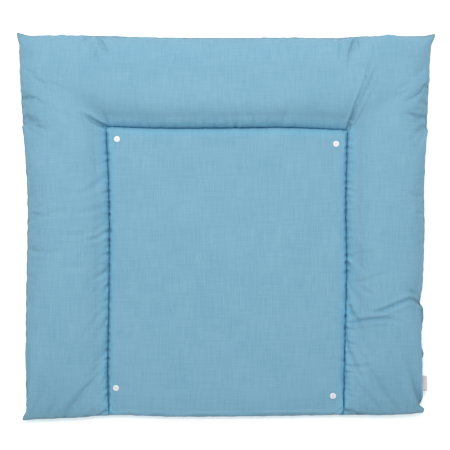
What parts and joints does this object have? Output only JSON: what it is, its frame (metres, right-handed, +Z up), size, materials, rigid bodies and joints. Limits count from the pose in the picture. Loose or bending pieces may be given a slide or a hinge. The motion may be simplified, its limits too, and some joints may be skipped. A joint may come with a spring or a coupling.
{
  "type": "changing pad",
  "caption": "Padded fabric changing pad for a baby: a flat centre with a stuffed raised rim on both sides and at the head, snaps for a liner, and sides that fold inwards.",
  "frame": {"origin": "on the surface the pad lies on, under the middle of its overall outline", "axes": "+X across the pad, to the right of a person standing at the foot end; +Y from the open foot end to the head rim; +Z up"},
  "size_m": [0.8, 0.74, 0.06],
  "materials": {
    "cover_fabric": "fine woven cotton chambray, washed, matt",
    "filling": "white hollow polyester fibre",
    "thread": "polyester sewing thread, a shade darker than the fabric",
    "snap_plastic": "white moulded acetal",
    "label_ribbon": "pale grey satin ribbon, blank"
  },
  "bodies": {
    "centre_section": {"centre_filling": "filling", "head_rim_filling": "filling", "top_cover_centre": "cover_fabric", "bottom_cover_centre": "cover_fabric", "snap_socket_head_left": "snap_plastic", "snap_socket_head_right": "snap_plastic", "snap_socket_foot_left": "snap_plastic", "snap_socket_foot_right": "snap_plastic", "snap_cap_head_left": "snap_plastic", "snap_cap_head_right": "snap_plastic", "snap_cap_foot_left": "snap_plastic", "snap_cap_foot_right": "snap_plastic", "head_channel_stitching": "thread", "left_channel_stitching": "thread", "right_channel_stitching": "thread", "head_edge_stitching": "thread", "foot_edge_stitching": "thread"},
    "left_section": {"left_rim_filling": "filling", "top_cover_left": "cover_fabric", "bottom_cover_left": "cover_fabric", "left_edge_stitching": "thread"},
    "right_section": {"right_rim_filling": "filling", "top_cover_right": "cover_fabric", "bottom_cover_right": "cover_fabric", "right_edge_stitching": "thread"},
    "label": {"side_label": "label_ribbon"}
  },
  "joints": [
    {"name": "left_side_fold", "type": "hinge", "parent": "centre_section", "child": "left_section", "pos_m": [-0.228, 0, 0.014], "axis": [0, 1, 0], "range_deg": [0, 90]},
    {"name": "right_side_fold", "type": "hinge", "parent": "centre_section", "child": "right_section", "pos_m": [0.228, 0, 0.014], "axis": [0, -1, 0], "range_deg": [0, 90]},
    {"name": "label_flap", "type": "hinge", "parent": "right_section", "child": "label", "pos_m": [0.3789, -0.301, 0.014], "axis": [0, -1, 0], "range_deg": [-80, 80]}
  ]
}
